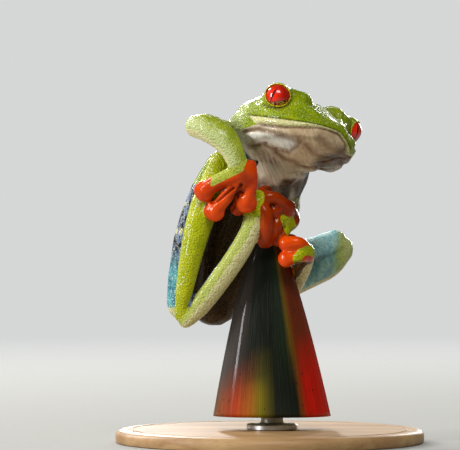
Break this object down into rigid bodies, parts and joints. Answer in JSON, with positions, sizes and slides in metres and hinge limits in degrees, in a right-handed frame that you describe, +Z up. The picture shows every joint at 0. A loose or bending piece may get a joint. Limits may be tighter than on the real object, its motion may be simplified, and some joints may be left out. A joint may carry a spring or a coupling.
{
  "type": "red-eyed tree frog model",
  "caption": "Life-size still model of a red-eyed tree frog gripping the tip of a cut flower bract with all its feet, on a plain round display stand.",
  "frame": {"origin": "centre of the display base's underside, on the surface it stands on", "axes": "+Z up from the base to the frog's head, -Y towards the viewer who sees the frog's right side and face, +X to that viewer's right"},
  "size_m": [0.056, 0.056, 0.0647],
  "materials": {
    "green_skin": "moist granular painted skin, leaf green to yellow-green with cream lips, throat, belly and limb edges",
    "blue_skin": "moist painted skin, blue to violet with a pale sheen",
    "orange_skin": "wet, glossy orange-red painted skin of the hands and feet",
    "red_eye": "clear, wet-looking red eye with a black upright slit",
    "bract": "waxy streaked bract, dark green with orange-red lower and right sides",
    "stand_steel": "brushed rod with a small round foot",
    "stand_wood": "satin-lacquered turned wood"
  },
  "bodies": {
    "root": {"head": "green_skin", "trunk": "green_skin", "upper_arm_right": "green_skin", "upper_arm_left": "green_skin", "forearm_right": "green_skin", "forearm_left": "green_skin", "shank_right": "green_skin", "shank_left": "green_skin", "tarsus_right": "green_skin", "tarsus_left": "green_skin", "thigh_right": "blue_skin", "thigh_left": "blue_skin", "hand_right": "orange_skin", "hand_left": "orange_skin", "foot_right": "orange_skin", "foot_left": "orange_skin", "eye_right": "red_eye", "eye_left": "red_eye", "perch_bract": "bract", "stand_rod": "stand_steel", "stand_base": "stand_wood"}
  },
  "joints": []
}
